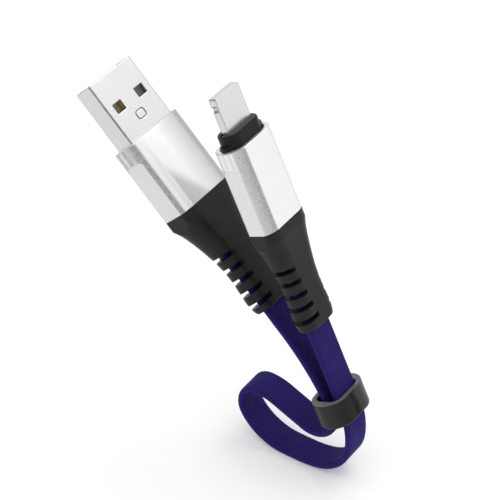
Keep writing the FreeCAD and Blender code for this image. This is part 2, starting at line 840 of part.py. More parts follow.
def type_a_solder(placement):
    body = new_body("type_a_solder", placement)
    for across, short in contact_rows():
        middle = f"{TONGUE_FACE} - @contact_sink + @contact_thick + @fit_gap * 1.5 + @solder_thick / 2"
        sketch = new_sketch(body, x=middle, y=across, z="-@contact_tail")
        rectangle(sketch, "@solder_thick", "@solder_width")
        pad(sketch, "@solder_length")


def type_a_leads(placement):
    """Four wire ends that fan out from the ribbon to the contact tails, each on two equal arcs."""
    leads = []
    low = size("lead_gap") - size("a_ribbon_top")
    rise = -size("contact_tail") - size("lead_gap") - low
    radius_of_lead = size("wire_radius") - size("fit_gap")
    for steps, contact in ((0.5, "contact_inner"), (1.5, "contact_outer")):
        near, far = size("wire_pitch") * steps, size(contact)
        shift = far - near
        radius = (shift**2 + rise**2) / (4 * shift)
        middle = Vector(0, near + shift / 2, low + rise / 2)
        half_turn = math.atan(shift / rise)
        lower_mid = Vector(0, near + radius * (1 - math.cos(half_turn)), low + radius * math.sin(half_turn))
        upper_mid = middle * 2 - lower_mid
        first_arc = Part.Arc(Vector(0, near, low), lower_mid, middle)
        second_arc = Part.Arc(middle, upper_mid, Vector(0, far, low + rise))
        spine = Part.Wire([first_arc.toShape(), second_arc.toShape()])
        ring = Part.Circle(Vector(0, near, low), Vector(0, 0, 1), radius_of_lead).toShape()
        lead = spine.makePipeShell([Part.Wire([ring])], True, True)
        leads.append(lead)
        leads.append(lead.mirror(Vector(0, 0, 0), Y_AXIS))
    feature = doc.addObject("Part::Feature", "type_a_leads")
    feature.Label = "type_a_leads"
    feature.Shape = Part.makeCompound(leads)
    feature.Placement = placement
    nodes.append(feature)


def type_a_mould(placement):
    body = new_body("type_a_inner_mould", placement)
    sketch = new_sketch(body, z="-@a_roof - @fit_gap")
    stadium(sketch, "@a_cavity_width - 2 * @fit_gap", "@a_cavity_thick - 2 * @fit_gap")
    pad(sketch, "@a_mould_end - @a_roof - @fit_gap", down=True)
    sketch = new_sketch(body, z="-@a_roof")
    rectangle(sketch, "@shell_thick + 2 * @fit_gap", "@shell_width + 2 * @fit_gap")
    pocket(sketch, "@shell_root - @a_roof + @fit_gap")
    sketch = new_sketch(body, z="-@a_roof")
    rectangle(sketch, "@wire_room_thick", "@a_wire_room")
    pocket(sketch, "@a_mould_end")
    sketch = new_sketch(body, z="-@a_ribbon_top")
    stadium(sketch, "@ribbon_width + 2 * @fit_gap", "@ribbon_thick + 2 * @fit_gap")
    pocket(sketch, "@a_mould_end")


def type_a_plug(placement):
    type_a_shell(placement)
    type_a_tongue(placement)
    type_a_contacts(placement)
    type_a_solder(placement)
    type_a_leads(placement)
    type_a_mould(placement)
    body = housing("type_a_housing", placement, "a", "0", "@a_roof")
    sketch = new_sketch(body)
    rectangle(sketch, "@shell_thick + 2 * @fit_gap", "@shell_width + 2 * @fit_gap")
    pocket(sketch, "@shell_root + @fit_gap")
    crimp("type_a_crimp", placement, "a_crimp_top")
    strain_relief("type_a_strain_relief", placement, "a", "a_body_length", "a_relief_end", "a_crimp_top")
    tail_end = "@a_relief_end + @type_a_upper_hinge - @hinge_gap"
    straight_ribbon("type_a_tail", placement, "@a_ribbon_top", tail_end, "@a_ribbon_top")


# ---------------------------------------------------------------- eight-contact plug


FIRST_PIN = f"-@pin_pitch * {(PIN_COUNT - 1) / 2}"
PIN_SPREAD = f"@pin_pitch * {PIN_COUNT - 1}"


def eight_blade(placement):
    body = new_body("eight_pin_blade", placement)
    sketch = new_sketch(body, "YZ_Plane", x="-@blade_thick / 2", z="(@blade_reach - @blade_root) / 2")
    rectangle(sketch, "@blade_width", "@blade_reach + @blade_root")
    pad(sketch, "@blade_thick")
    tip = size("blade_reach")
    half = size("blade_width") / 2
    round_edges(
        body,
        "@blade_corner",
        lambda edge: abs(edge.CenterOfMass.z - tip) < 1e-4 and abs(abs(edge.CenterOfMass.y) - half) < 1e-4,
    )
    # The retaining notches stop short of the front, which stays a plain plate.
    notch_centre = "@blade_width / 2 + @detent_radius - @detent_depth"
    sketch = new_sketch(body, "YZ_Plane", x="@blade_thick / 2 - @detent_cover", y=notch_centre, z="@detent_level")
    circle(sketch, "@detent_radius")
    notch = pocket(sketch, "@blade_thick")
    mirror(body, [notch], "XZ_Plane")
    sketch = new_sketch(body, "YZ_Plane", x="-@blade_thick / 2", z="@block_level")
    rounded_rectangle(
        sketch, "@block_width + 2 * @fit_gap", "@block_height + 2 * @fit_gap", "@block_corner + @fit_gap"
    )
    pocket(sketch, "@block_depth + @fit_gap", flip=True)


def eight_contact_block(placement):
    body = new_body("eight_pin_contact_block", placement)
    sketch = new_sketch(body, "YZ_Plane", x="-@blade_thick / 2", z="@block_level")
    rounded_rectangle(sketch, "@block_width", "@block_height", "@block_corner")
    pad(sketch, "@block_depth")
    sketch = new_sketch(body, "YZ_Plane", x="-@blade_thick / 2", y=FIRST_PIN, z="@block_level")
    rectangle(sketch, "@pin_width + @fit_gap", "@pin_height + @fit_gap")
    groove = pocket(sketch, "@pin_thick + @fit_gap", flip=True)
    repeat(body, groove, "Y_Axis", PIN_SPREAD, PIN_COUNT)


def eight_contacts(placement):
    body = new_body("eight_pin_contacts", placement)
    sketch = new_sketch(body, "YZ_Plane", x="-@blade_thick / 2", y=FIRST_PIN, z="@block_level")
    rectangle(sketch, "@pin_width", "@pin_height")
    strip = pad(sketch, "@pin_thick")
    repeat(body, strip, "Y_Axis", PIN_SPREAD, PIN_COUNT)


ON_BOARD = "(@board_thick / 2 - @board_offset + @seat_gap)"


def eight_board(placement):
    body = new_body("eight_pin_board", placement)
    sketch = new_sketch(body, x="-@board_offset", z="-@board_top")
    rectangle(sketch, "@board_thick", "@board_width")
    pad(sketch, "@board_bottom - @board_top", down=True)


def eight_parts_on_board(placement):
    chip = new_body("eight_pin_chip", placement)
    sketch = new_sketch(chip, "YZ_Plane", x=ON_BOARD, z="-@chip_level")
    rounded_rectangle(sketch, "@chip_size", "@chip_size", "@chip_corner")
    pad(sketch, "@chip_thick")

    passives = new_body("eight_pin_capacitors", placement)
    sketch = new_sketch(passives, "YZ_Plane", x=ON_BOARD, y="-@passive_spread", z="-@chip_level")
    rectangle(sketch, "@passive_width", "@passive_height")
    part = pad(sketch, "@passive_thick")
    repeat(passives, part, "Y_Axis", "@passive_spread * 2", 2)

    solder = new_body("eight_pin_solder", placement)
    above_wires = "@lead_gap + @solder_length / 2 - @e_wire_top"
    sketch = new_sketch(solder, "YZ_Plane", x=ON_BOARD, y=FIRST_WIRE, z=above_wires)
    rounded_rectangle(sketch, "@solder_width", "@solder_length", "@solder_corner")
    joint = pad(sketch, "@solder_thick")
    repeat(solder, joint, "Y_Axis", WIRE_SPREAD, WIRE_COUNT)


def eight_collar(placement):
    """Black plastic nose that closes the housing round the blade."""
    body = new_body("eight_pin_collar", placement)
    sketch = new_sketch(body)
    stadium(sketch, "@collar_width", "@collar_thick")
    pad(sketch, "@collar_height", down=True)
    round_edges(body, "@collar_edge", level_test(0.0))
    sketch = new_sketch(body, z="-@collar_height")
    stadium(sketch, "@collar_flange_width", "@collar_flange_thick")
    pad(sketch, "@collar_flange_height")
    sketch = new_sketch(body, z="-@collar_height")
    stadium(sketch, "@e_cavity_width - 2 * @fit_gap", "@e_cavity_thick - 2 * @fit_gap")
    pad(sketch, "@collar_plug_depth", down=True)
    sketch = new_sketch(body)
    rectangle(sketch, "@blade_thick + @fit_gap", "@blade_width + @fit_gap")
    pocket(sketch, "@blade_root + @fit_gap / 2")
    sketch = new_sketch(body, x="-@board_offset")
    rectangle(sketch, "@board_thick + 2 * @fit_gap", "@board_width + 2 * @fit_gap")
    pocket(sketch, "@collar_height + @collar_plug_depth")


def eight_mould(placement):
    body = new_body("eight_pin_inner_mould", placement)
    sketch = new_sketch(body, z="-@e_mould_top")
    stadium(sketch, "@e_cavity_width - 2 * @fit_gap", "@e_cavity_thick - 2 * @fit_gap")
    pad(sketch, "@e_mould_end - @e_mould_top", down=True)
    sketch = new_sketch(body, x="-@board_offset + @chip_thick / 2", z="-@e_mould_top")
    rectangle(sketch, "@board_thick + @chip_thick + 3 * @fit_gap", "@e_board_room")
    pocket(sketch, "@board_bottom - @e_mould_top + @fit_gap")
    sketch = new_sketch(body, z="-@board_bottom")
    stadium(sketch, "@ribbon_width + 2 * @fit_gap", "@ribbon_thick + 2 * @fit_gap")
    pocket(sketch, "@e_mould_end")


def eight_plug(placement):
    eight_blade(placement)
    eight_contact_block(placement)
    eight_contacts(placement)
    eight_board(placement)
    eight_parts_on_board(placement)
    eight_collar(placement)
    eight_mould(placement)
    housing("eight_pin_housing", placement, "e", "@collar_height", "0")
    crimp("eight_pin_crimp", placement, "e_crimp_top")
    strain_relief("eight_pin_strain_relief", placement, "e", "e_relief_top", "e_relief_end", "e_crimp_top")
    tail_end = "@e_relief_end + @eight_upper_hinge - @hinge_gap"
    straight_ribbon("eight_pin_tail", placement, "@e_ribbon_top", tail_end, "@e_wire_top")


# ---------------------------------------------------------------- assembly

relief_a, heading_a = whole_path[0].start, whole_path[0].heading
tip_heading_a = heading_a + math.pi
root_a = relief_a + Vector(math.cos(tip_heading_a), math.sin(tip_heading_a), 0) * size("a_relief_end")
relief_e, heading_e = whole_path[-1].at(whole_path[-1].length)
root_e = relief_e + Vector(math.cos(heading_e), math.sin(heading_e), 0) * size("e_relief_end")

type_a_plug(facing(root_a, tip_heading_a))
eight_plug(facing(root_e, heading_e))

gap = size("hinge_gap")
a_upper = size("type_a_upper_hinge")
a_lower = size("type_a_lower_hinge")
e_lower = path_length - size("eight_lower_hinge")
e_upper = path_length - size("eight_upper_hinge")
swept_ribbon("type_a_run", a_upper + gap, a_lower - gap)
swept_ribbon("loop", a_lower + gap, e_lower - gap)
swept_ribbon("eight_pin_run", e_lower + gap, e_upper - gap)
keeper_centre = keeper_ring()

doc.recompute()
for item in doc.Objects:
    if "Invalid" in item.State or "Error" in item.State:
        raise RuntimeError(f"{item.Name} of {item.Label} did not build: {item.State}")
for node in nodes:
    if node.Shape.isNull() or not node.Shape.isValid() or not node.Shape.Solids:
        raise RuntimeError(f"{node.Label} has no valid solid")

os.makedirs("parts", exist_ok=True)
for node in nodes:
    node.Shape.exportStep(f"parts/{node.Label}.step")
    print(f"{node.Label:28s} solids {len(node.Shape.Solids)}  volume {node.Shape.Volume:9.2f}")

for place, distance in {
    "type-A lower hinge": a_lower,
    "type-A upper hinge": a_upper,
    "eight-contact lower hinge": e_lower,
    "eight-contact upper hinge": e_upper,
}.items():
    point = along_path(distance)[0]
    print(f"{place}: x {point.x:.4f} z {point.y:.4f}")
for place, point, heading in (
    ("type-A root", root_a, tip_heading_a),
    ("eight-contact root", root_e, heading_e),
    ("keeper centre", keeper_centre, to_eight[3].heading),
):
    print(f"{place}: x {point.x:.4f} z {point.y:.4f} pitch {180 - math.degrees(heading) % 360:.3f}")
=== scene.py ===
import json
import math

import bpy
import numpy as np
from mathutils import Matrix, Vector


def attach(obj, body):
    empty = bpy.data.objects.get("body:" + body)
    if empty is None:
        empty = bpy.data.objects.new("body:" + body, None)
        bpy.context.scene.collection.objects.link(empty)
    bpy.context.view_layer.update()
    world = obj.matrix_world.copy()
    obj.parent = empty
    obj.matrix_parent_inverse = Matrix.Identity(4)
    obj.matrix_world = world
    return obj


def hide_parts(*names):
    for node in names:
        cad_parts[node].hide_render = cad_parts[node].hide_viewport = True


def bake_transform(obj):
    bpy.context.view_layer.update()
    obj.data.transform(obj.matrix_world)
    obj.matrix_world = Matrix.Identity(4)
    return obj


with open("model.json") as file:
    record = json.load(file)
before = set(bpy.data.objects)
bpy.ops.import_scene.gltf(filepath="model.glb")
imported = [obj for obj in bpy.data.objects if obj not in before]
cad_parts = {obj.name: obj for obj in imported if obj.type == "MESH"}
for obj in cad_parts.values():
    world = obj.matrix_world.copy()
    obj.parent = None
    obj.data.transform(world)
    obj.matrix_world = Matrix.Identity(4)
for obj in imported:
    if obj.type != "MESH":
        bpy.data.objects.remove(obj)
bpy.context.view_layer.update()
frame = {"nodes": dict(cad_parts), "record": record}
MM = 0.001

# ---------------------------------------------------------------- the ribbon's path
# Lengths are in millimetres unless they are multiplied by MM, and the path is in the XZ plane.
# A move is a straight length, or (radius, degrees, turn), where turn is 1 to the left and -1 to the
# right. The ribbon rests on the floor along twice HALF_REST, and the moves go up from there.

RIBBON_WIDTH = 6.1
RIBBON_THICK = 1.3
HALF_REST = 1.5
TO_TYPE_A = (
    (10.6, 59.0, -1),
    (5.25, 60.5, -1),
    (3.3, 59.0, -1),
    (9.5, 24.7, -1),
    7.0,
    (4.6, 140.5, 1),
    2.47,
    (20.6, 4.4, 1),
    (55.0, 14.5, 1),
    5.27,
)
TO_EIGHT = (
    (18.3, 14.0, 1),
    (8.35, 70.0, 1),
    (17.0, 31.1, 1),
    17.6,
)
# How far each end of the ribbon runs on inside its boot and housing.
TYPE_A_TAIL = 26.6
EIGHT_TAIL = 25.15
# How far below each boot the ribbon's two hinges are, and where it is parted on its way to the ring.
TYPE_A_UPPER_HINGE = 5.0
TYPE_A_LOWER_HINGE = 14.6
TYPE_A_RING_SPLIT = 21.5
EIGHT_UPPER_HINGE = 3.6
EIGHT_LOWER_HINGE = 10.0
EIGHT_RING_SPLIT = 17.3
# The reach along the path to either side of each hinge.
BEND_REACH = 3.2
TYPE_A_UPPER_REACH = 4.4


def walk(start, heading, moves):
    """Stretches (point, heading, length, curvature) one after the other."""
    stretches = []
    for move in moves:
        if isinstance(move, tuple):
            radius, degrees, turn = move
            length, curvature = radius * math.radians(degrees), turn / radius
        else:
            length, curvature = move, 0.0
        stretches.append((start, heading, length, curvature))
        start, heading = step(stretches[-1], length)
    return stretches


def step(stretch, distance):
    """The point and heading after a distance along a stretch."""
    (x, z), heading, _, curvature = stretch
    if not curvature:
        return (x + distance * math.cos(heading), z + distance * math.sin(heading)), heading
    turned = heading + distance * curvature
    across = (math.sin(turned) - math.sin(heading)) / curvature
    rise = (math.cos(heading) - math.cos(turned)) / curvature
    return (x + across, z + rise), turned


def reverse(stretch):
    """The same stretch, walked from its other end."""
    point, heading = step(stretch, stretch[2])
    return point, heading + math.pi, stretch[2], -stretch[3]


def whole_path():
    """From the type-A boot's end, down, round the loop, and up to the eight-contact boot's end."""
    up_a = walk((-HALF_REST, RIBBON_THICK / 2), math.pi, TO_TYPE_A)
    rest = ((-HALF_REST, RIBBON_THICK / 2), 0.0, 2 * HALF_REST, 0.0)
    up_e = walk((HALF_REST, RIBBON_THICK / 2), 0.0, TO_EIGHT)
    return [reverse(stretch) for stretch in reversed(up_a)] + [rest] + up_e


PATH = whole_path()
PATH_LENGTH = sum(stretch[2] for stretch in PATH)


def along(distances):
    """Points (x, z) and headings at many distances; before and past the path it runs on straight."""
    starts = np.cumsum([0.0] + [stretch[2] for stretch in PATH[:-1]])
    which = np.clip(np.searchsorted(starts, distances, side="right") - 1, 0, len(PATH) - 1)
    points = np.zeros((len(distances), 2))
    headings = np.zeros(len(distances))
    for number, ((x, z), heading, length, curvature) in enumerate(PATH):
        mask = which == number
        local = distances[mask] - starts[number]
        if curvature:
            turned = heading + local * curvature
            points[mask, 0] = x + (np.sin(turned) - math.sin(heading)) / curvature
            points[mask, 1] = z + (math.cos(heading) - np.cos(turned)) / curvature
            headings[mask] = turned
        else:
            points[mask, 0] = x + local * math.cos(heading)
            points[mask, 1] = z + local * math.sin(heading)
            headings[mask] = heading
    return points, headings


def path_point(distance):
    """A point of the path's middle line in the row frame, in metres."""
    points, _ = along(np.array([distance]))
    return (points[0, 0] * MM, 0.0, points[0, 1] * MM)


# ---------------------------------------------------------------- swept meshes


def stadium_section(width, thick, count):
    """Points (off, across), outward normals and the distance round, for a flat oval section."""
    radius = thick / 2
    flat = width - thick
    half_round = flat + math.pi * radius
    around = np.arange(count) / count * 2 * half_round
    sign = np.where(around < half_round, 1.0, -1.0)
    reach = around % half_round
    angle = np.maximum(reach - flat, 0.0) / radius
    normals = np.stack([sign * np.cos(angle), sign * np.sin(angle)], axis=1)
    middle = sign * (np.minimum(reach, flat) - flat / 2)
    points = normals * radius
    points[:, 1] += middle
    return points, normals, around


def placed(distances, off, across):
    """Row-frame points in metres, off the path's middle line and across the ribbon."""
    points, headings = along(distances)
    x = points[:, 0] - np.sin(headings) * off
    z = points[:, 1] + np.cos(headings) * off
    return np.stack([x, across, z], axis=1) * MM


def ring_faces(first, rings, count, flip=False):
    """Quads between rings of vertices."""
    ring, spot = np.meshgrid(np.arange(rings - 1), np.arange(count), indexing="ij")
    here = first + ring * count + spot
    beside = first + ring * count + (spot + 1) % count
    quads = np.stack([here, beside, beside + count, here + count], axis=-1).reshape(-1, 4)
    return quads[:, ::-1] if flip else quads


def make_mesh(name, points, faces, material):
    """A smooth-shaded object from points in metres and faces of point numbers."""
    mesh = bpy.data.meshes.new(name)
    mesh.from_pydata(points.tolist(), [], faces)
    mesh.update()
    mesh.shade_smooth()
    mesh.materials.append(material)
    piece = bpy.data.objects.new(name, mesh)
    bpy.context.scene.collection.objects.link(piece)
    return piece


# ---------------------------------------------------------------- materials

# How steeply each plug points up, in degrees.
TYPE_A_PITCH = 43.8
EIGHT_PITCH = 64.9
BEVEL_SAMPLES = 8

YARN_PITCH = 0.36
WEAVE_DARK = (0.0045, 0.003, 0.040)
WEAVE_LIGHT = (0.030, 0.019, 0.180)
# How much each part of the weave adds to its light: the yarn's floats, the cords (crowns lighter,
# valleys between them painted as shade) and two noises.
FLOAT_SHARE = 0.25
CROWN_SHADE_SHARE = 0.75
FIBRE_SHARE = 0.4
MOTTLE_SHARE = 0.3

WIRE_PITCH = 1.3
WIRE_RED = (0.45, 0.02, 0.015)
WIRE_GREEN = (0.03, 0.25, 0.06)
WIRE_WHITE = (0.7, 0.7, 0.68)
WIRE_BLACK = (0.02, 0.02, 0.02)
MASK_GREEN = (0.03, 0.20, 0.08)
TRACK_GREEN = (0.012, 0.10, 0.045)

STEEL = (0.76, 0.76, 0.765)
ALUMINIUM = (0.92, 0.92, 0.925)
GOLD = (0.83, 0.60, 0.22)
BRASS = (0.62, 0.50, 0.28)
TIN = (0.70, 0.71, 0.72)
PATCH_TONE = 0.93  # a metal's darker patches, as a share of its colour

# A painted reflection round a metal, shade and highlight by which way the surface faces, as (sideways
# part of the normal, brightness) from -Y to +Y.
# The plain metals get only painted shade on the sides that face -Y and +Y.
SIDE_SHADE_BANDS = ((-1.0, 0.85), (-0.9, 1.0), (0.9, 1.0), (1.0, 0.85))
STEEL_REFLECTION_BANDS = (
    (-1.0, 0.85),
    (-0.97, 0.80),
    (-0.88, 0.35),
    (-0.55, 0.30),
    (-0.35, 0.95),
    (0.60, 0.95),
    (0.85, 0.60),
    (1.0, 0.85),
)
# Each housing's painted reflection: dark lines, white strips and grey bands by which way the surface
# faces.
HOUSING_REFLECTION_BANDS = {
    "a": (
        (-1.0, 0.77),
        (-0.985, 0.45),
        (-0.93, 0.66),
        (-0.80, 0.46),
        (-0.62, 0.40),
        (-0.52, 0.96),
        (0.10, 1.0),
        (0.50, 0.80),
        (0.72, 0.58),
        (0.80, 0.85),
        (1.0, 0.77),
    ),
    "e": (
        (-1.0, 0.80),
        (-0.985, 0.95),
        (-0.92, 0.75),
        (-0.87, 1.0),
        (-0.80, 0.66),
        (-0.50, 0.55),
        (-0.30, 0.42),
        (-0.20, 0.42),
        (-0.10, 0.97),
        (0.30, 0.97),
        (0.55, 0.80),
        (0.66, 0.98),
        (1.0, 0.80),
    ),
}

# The diagonal reflection on the type-A housing, between those places across the front and along the
# plug. Its wedge lies below a line that starts SWEEP_OFFSET of the way down at the left and drops by
# SWEEP_SLOPE of the height towards the right. Its band darkens between two parts of the width.
SWEEP_LEFT = -4.1
SWEEP_RIGHT = 6.9
SWEEP_TOP = 65.8
SWEEP_FOOT = 48.3
SWEEP_OFFSET = 0.48
SWEEP_SLOPE = 0.95
SWEEP_RAGGED = 0.3
SWEEP_SOFT = 0.2
SWEEP_MARGIN = 0.3
SWEEP_DARKNESS = 0.36
SWEEP_BAND = (0.30, 0.80)

# The keeper's painted reflection bands, as (place from one side at -1 to the other at 1, tone); they
# wander within KEEPER_WANDER. Its tones go from KEEPER_DARK to KEEPER_LIGHT.
KEEPER_HALF = 5.5
KEEPER_WANDER = 1.2
KEEPER_REFLECTION_BANDS = (
    (-1.0, 0.6),
    (-0.6, 0.3),
    (-0.3, 0.25),
    (-0.06, 0.0),
    (0.16, 0.8),
    (0.6, 1.0),
    (1.0, 0.4),
)
KEEPER_DARK = (0.006, 0.006, 0.0055)
KEEPER_LIGHT = (0.030, 0.030, 0.028)
# The colour of the rims that face up along the plug: a painted highlight.
KEEPER_RIM_HIGHLIGHT = (0.13, 0.13, 0.13)


class Shade:
    """One node material round a Principled surface, with short names for the nodes it needs."""

    def __init__(self, name):
        self.material = bpy.data.materials.new(name)
        self.material.use_nodes = True
        self.tree = self.material.node_tree
        self.tree.nodes.clear()
        output = self.tree.nodes.new("ShaderNodeOutputMaterial")
        self.surface = self.add("ShaderNodeBsdfPrincipled")
        self.tree.links.new(self.surface.outputs[0], output.inputs[0])

    def add(self, kind, inputs=None, **settings):
        """A node of a kind, with its settings made and its inputs linked or set."""
        node = self.tree.nodes.new(kind)
        for field, value in settings.items():
            setattr(node, field, value)
        for field, value in (inputs or {}).items():
            self.plug(node.inputs[field], value)
        return node

    def plug(self, socket, value):
        """Links an output to an input, or gives the input a value."""
        if isinstance(value, bpy.types.NodeSocket):
            self.tree.links.new(value, socket)
        elif socket.type == "RGBA" and len(value) == 3:
            socket.default_value = (*value, 1.0)
        else:
            socket.default_value = value

    def set(self, **values):
        """Principled inputs by name, with _ for a space."""
        for field, value in values.items():
            self.plug(self.surface.inputs[field.replace("_", " ")], value)

    def coordinates(self, pitch=0.0, stretch=(1.0, 1.0, 1.0)):
        """The place in millimetres; a pitch turns it so that Z runs along the plug of that pitch."""
        place = self.add("ShaderNodeTexCoord").outputs["Object"]
        turn = (0.0, math.radians(90.0 - pitch) if pitch else 0.0, 0.0)
        turned = self.add("ShaderNodeMapping", {"Vector": place, "Rotation": turn})
        scale = [1 / MM * amount for amount in stretch]
        scaled = self.add("ShaderNodeMapping", {"Vector": turned.outputs[0], "Scale": scale})
        return scaled.outputs[0]

    def noise(self, where, scale, detail=3.0, roughness=0.5):
        inputs = {"Vector": where, "Scale": scale, "Detail": detail, "Roughness": roughness}
        return self.add("ShaderNodeTexNoise", inputs).outputs["Fac"]

    def math(self, operation, first, second=0.0, third=0.0):
        node = self.add("ShaderNodeMath", operation=operation)
        for socket, value in zip(node.inputs, (first, second, third)):
            self.plug(socket, value)
        return node.outputs[0]

    def remap(self, value, low, high, new_low, new_high):
        """Takes the range from low to high to the range from new_low to new_high, and stops there."""
        inputs = {
            "Value": value,
            "From Min": low,
            "From Max": high,
            "To Min": new_low,
            "To Max": new_high,
        }
        return self.add("ShaderNodeMapRange", inputs).outputs[0]

    def mix(self, amount, first, second):
        """The first colour at 0, the second at 1."""
        node = self.add("ShaderNodeMix", data_type="RGBA")
        self.plug(node.inputs[0], amount)
        self.plug(node.inputs[6], first)
        self.plug(node.inputs[7], second)
        return node.outputs[2]

    def ramp(self, value, stops):
        """A grey level for a value from 0 to 1; each stop is (place from -1 to 1, level)."""
        node = self.add("ShaderNodeValToRGB", {"Fac": value})
        elements = node.color_ramp.elements
        while len(elements) < len(stops):
            elements.new(0.5)
        for element, (place, level) in zip(elements, stops):
            element.position = (place + 1) / 2
            element.color = (level, level, level, 1.0)
        return node.outputs["Color"]

    def bump(self, height, distance, strength=1.0, normal=None):
        inputs = {"Height": height, "Distance": distance * MM, "Strength": strength}
        if normal is not None:
            inputs["Normal"] = normal
        return self.add("ShaderNodeBump", inputs).outputs[0]

    def soft_edges(self, radius):
        """A normal that rounds sharp edges over that radius."""
        return self.add("ShaderNodeBevel", {"Radius": radius * MM}, samples=BEVEL_SAMPLES).outputs[0]


def weave_material():
    """Deep indigo yarn: cords across the ribbon, each made of short crossing floats, with painted
    shade in the valleys between the cords.
    """
    shade = Shade("woven_ribbon")
    weave = shade.add("ShaderNodeAttribute", attribute_name="weave")
    split = shade.add("ShaderNodeSeparateXYZ", {"Vector": weave.outputs["Vector"]})
    around, cord, _ = split.outputs
    row = shade.math("FLOOR", cord)
    within = shade.math("SUBTRACT", cord, row)
    crown = shade.math("SINE", shade.math("MULTIPLY", within, math.pi))
    parity = shade.math("MULTIPLY", shade.math("MODULO", row, 2.0), math.pi)
    float_phase = shade.math("ADD", shade.math("MULTIPLY", around, 2 * math.pi / YARN_PITCH), parity)
    floats = shade.math("MULTIPLY_ADD", shade.math("SINE", float_phase), 0.5, 0.5)
    mottle = shade.noise(shade.coordinates(), 0.35, 4.0)
    fibre = shade.noise(shade.coordinates(stretch=(1.0, 0.25, 1.0)), 14.0, 3.0, 0.7)
    # The cords' crowns add light to the colour, so the valleys between them are painted darker, as
    # shade.
    lit = shade.math("MULTIPLY_ADD", floats, FLOAT_SHARE, shade.math("MULTIPLY", crown, CROWN_SHADE_SHARE))
    lit = shade.math("ADD", lit, shade.math("MULTIPLY_ADD", fibre, FIBRE_SHARE, -FIBRE_SHARE / 2))
    lit = shade.math("ADD", lit, shade.math("MULTIPLY_ADD", mottle, MOTTLE_SHARE, -MOTTLE_SHARE / 2))
    colour = shade.mix(shade.remap(lit, 0.25, 0.95, 0.0, 1.0), WEAVE_DARK, WEAVE_LIGHT)
    height = shade.math("MULTIPLY_ADD", floats, 0.6, shade.math("MULTIPLY", fibre, 0.5))
    shade.set(
        Base_Color=colour,
        Roughness=shade.remap(fibre, 0.3, 0.7, 0.5, 0.72),
        Specular_IOR_Level=shade.math("MULTIPLY", crown, 0.12),
        Normal=shade.bump(height, 0.03, 0.6),
    )
    return shade.material


def metal_material(
    name, pitch, colour, rough, grain, brushed, depth, bands, edge=0.12, line=0.3, sweep=None
):
    """Bare metal with a fine grain of that depth; brushed above 1 draws it out along the plug.

    bands gives the painted reflection round the plug, shade and highlight by how it faces. edge is
    the radius that sharp edges are softened to, and line how dark they are painted, as shade along
    them.
    sweep is a function that paints the darkness of a soft diagonal reflection into the colour.
    """
    shade = Shade(name)
    where = shade.coordinates(pitch, (1.0, 1.0, 1.0 / brushed))
    fine = shade.noise(where, grain, 4.0, 0.6)
    broad = shade.noise(shade.coordinates(pitch), 0.25, 2.0)
    dark = tuple(channel * PATCH_TONE for channel in colour)
    blend = shade.math("MULTIPLY_ADD", broad, 0.4, shade.math("MULTIPLY", fine, 0.6))
    bare = shade.mix(shade.remap(blend, 0.3, 0.7, 0.0, 1.0), dark, colour)
    flat = shade.add("ShaderNodeNewGeometry").outputs["Normal"]
    rounded = shade.soft_edges(edge)
    sideways = shade.add("ShaderNodeSeparateXYZ", {"Vector": rounded}).outputs[1]
    # Painted reflection: the colour darkens by which way the softened surface faces, with grain in
    # the shade.
    tone = shade.ramp(shade.math("MULTIPLY_ADD", sideways, 0.5, 0.5), bands)
    shadow = shade.math("SUBTRACT", 1.0, tone)
    speckle = shade.noise(where, 2.6, 3.0, 0.7)
    shadow = shade.math("MULTIPLY", shadow, shade.remap(speckle, 0.35, 0.65, 0.78, 1.12))
    if sweep:
        shadow = shade.math("MAXIMUM", shadow, sweep(shade, pitch, fine))
    # Painted shade: a dark line where the softened edges turn away from the flat faces.
    agreement = shade.add("ShaderNodeVectorMath", {0: flat, 1: rounded}, operation="DOT_PRODUCT")
    painted_edge_shade = shade.remap(agreement.outputs["Value"], 0.95, 0.75, 0.0, line)
    shadow = shade.math("MAXIMUM", shadow, painted_edge_shade)
    shade.set(
        Base_Color=shade.mix(shadow, bare, (0.0, 0.0, 0.0)),
        Metallic=1.0,
        Roughness=shade.remap(fine, 0.25, 0.75, rough - 0.04, rough + 0.05),
        Normal=shade.bump(fine, depth, 0.5, rounded),
    )
    return shade.material


def diagonal_sweep(shade, pitch, grain):
    """The darkness of the type-A housing's reflection: a low wedge, and a band on the right."""
    split = shade.add("ShaderNodeSeparateXYZ", {"Vector": shade.coordinates(pitch)})
    across = shade.remap(split.outputs[1], SWEEP_LEFT, SWEEP_RIGHT, 0.0, 1.0)
    down = shade.remap(split.outputs[2], SWEEP_TOP, SWEEP_FOOT, 0.0, 1.0)
    below = shade.math("SUBTRACT", down, SWEEP_OFFSET)
    ragged = shade.math("MULTIPLY_ADD", grain, SWEEP_RAGGED, below)
    past = shade.math("SUBTRACT", ragged, shade.math("MULTIPLY", across, SWEEP_SLOPE))
    wedge = shade.remap(past, 0.0, SWEEP_SOFT, 0.0, SWEEP_DARKNESS)
    strip = shade.remap(split.outputs[1], SWEEP_LEFT - SWEEP_MARGIN, SWEEP_LEFT, 0.0, 1.0)
    band = shade.remap(across, *SWEEP_BAND, 0.0, SWEEP_DARKNESS)
    return shade.math("MAXIMUM", shade.math("MULTIPLY", wedge, strip), band)


def moulded_material(name, colour, rough, texture=9.0, depth=0.012, edge=0.12, specular=0.5):
    """Moulded rubber or plastic: a fine spark-eroded grain with slight blotches in tone and gloss."""
    shade = Shade(name)
    where = shade.coordinates()
    grain = shade.noise(where, texture, 5.0, 0.65)
    blotch = shade.noise(where, 0.3, 3.0)
    dark = tuple(channel * 0.8 for channel in colour)
    light = tuple(min(1.0, channel * 1.2) for channel in colour)
    shade.set(
        Base_Color=shade.mix(shade.remap(blotch, 0.3, 0.7, 0.0, 1.0), dark, light),
        Roughness=shade.remap(shade.math("ADD", grain, blotch), 0.6, 1.4, rough - 0.06, rough + 0.06),
        Specular_IOR_Level=specular,
        Normal=shade.bump(grain, depth, 0.6, shade.soft_edges(edge)),
    )
    return shade.material


